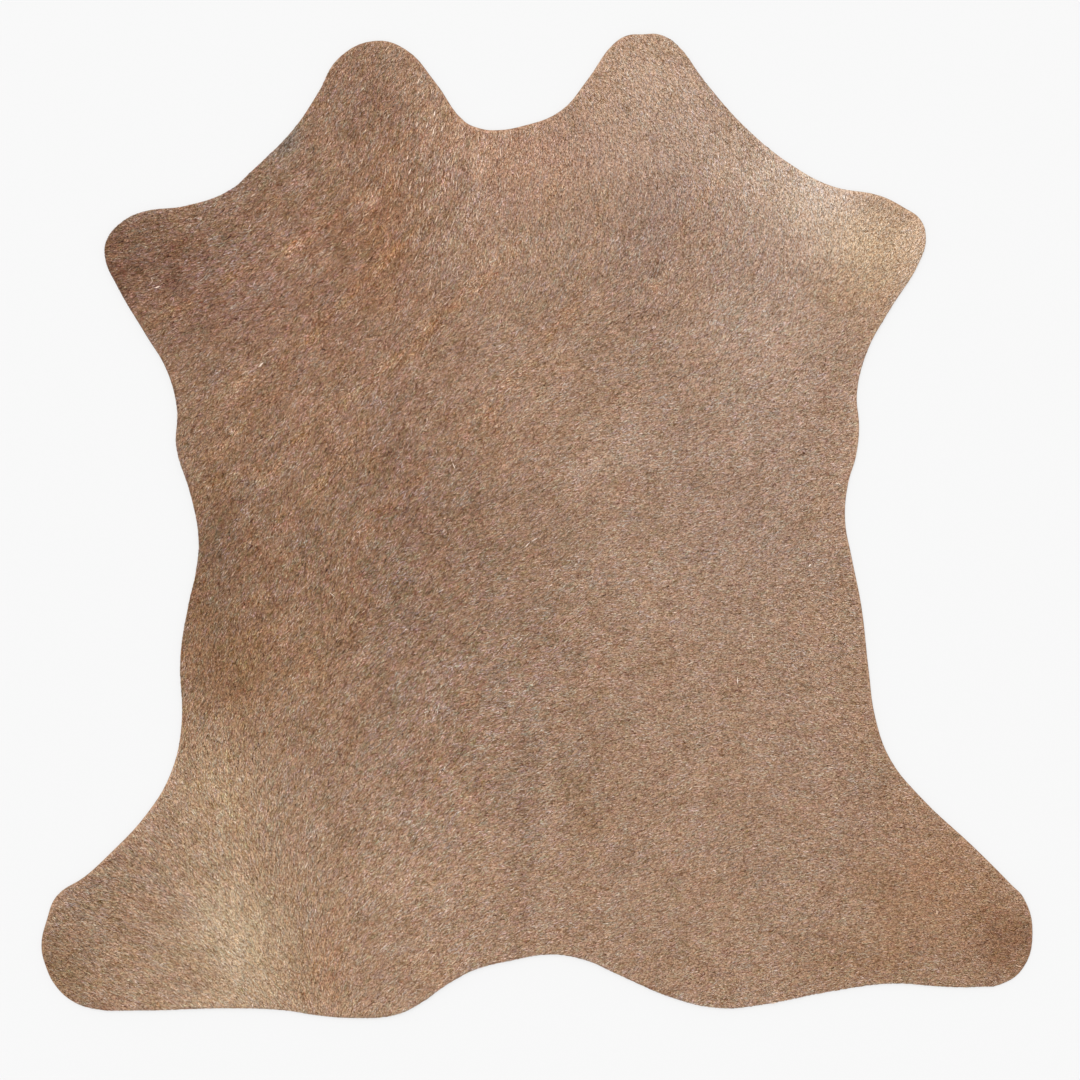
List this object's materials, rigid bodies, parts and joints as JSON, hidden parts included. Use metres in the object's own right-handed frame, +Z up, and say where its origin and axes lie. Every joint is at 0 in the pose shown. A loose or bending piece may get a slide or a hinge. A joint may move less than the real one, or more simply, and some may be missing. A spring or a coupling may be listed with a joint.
{
  "type": "hair-on cowhide",
  "caption": "Flat hair-on cowhide, knife-cut in one piece with a notched neck, short leg lobes and a shallow tail notch, laid with its hair side up.",
  "frame": {"origin": "middle of the outline's box, on the flat underside", "axes": "+Z up out of the hair side, +Y towards the neck, +X to the right seen from above with the neck at the top"},
  "size_m": [0.92, 0.9138, 0.005],
  "materials": {
    "coat": "short taupe cattle hair, matt with a soft sheen, on tanned leather with a suede underside"
  },
  "bodies": {
    "root": {"hide": "coat"}
  },
  "joints": []
}
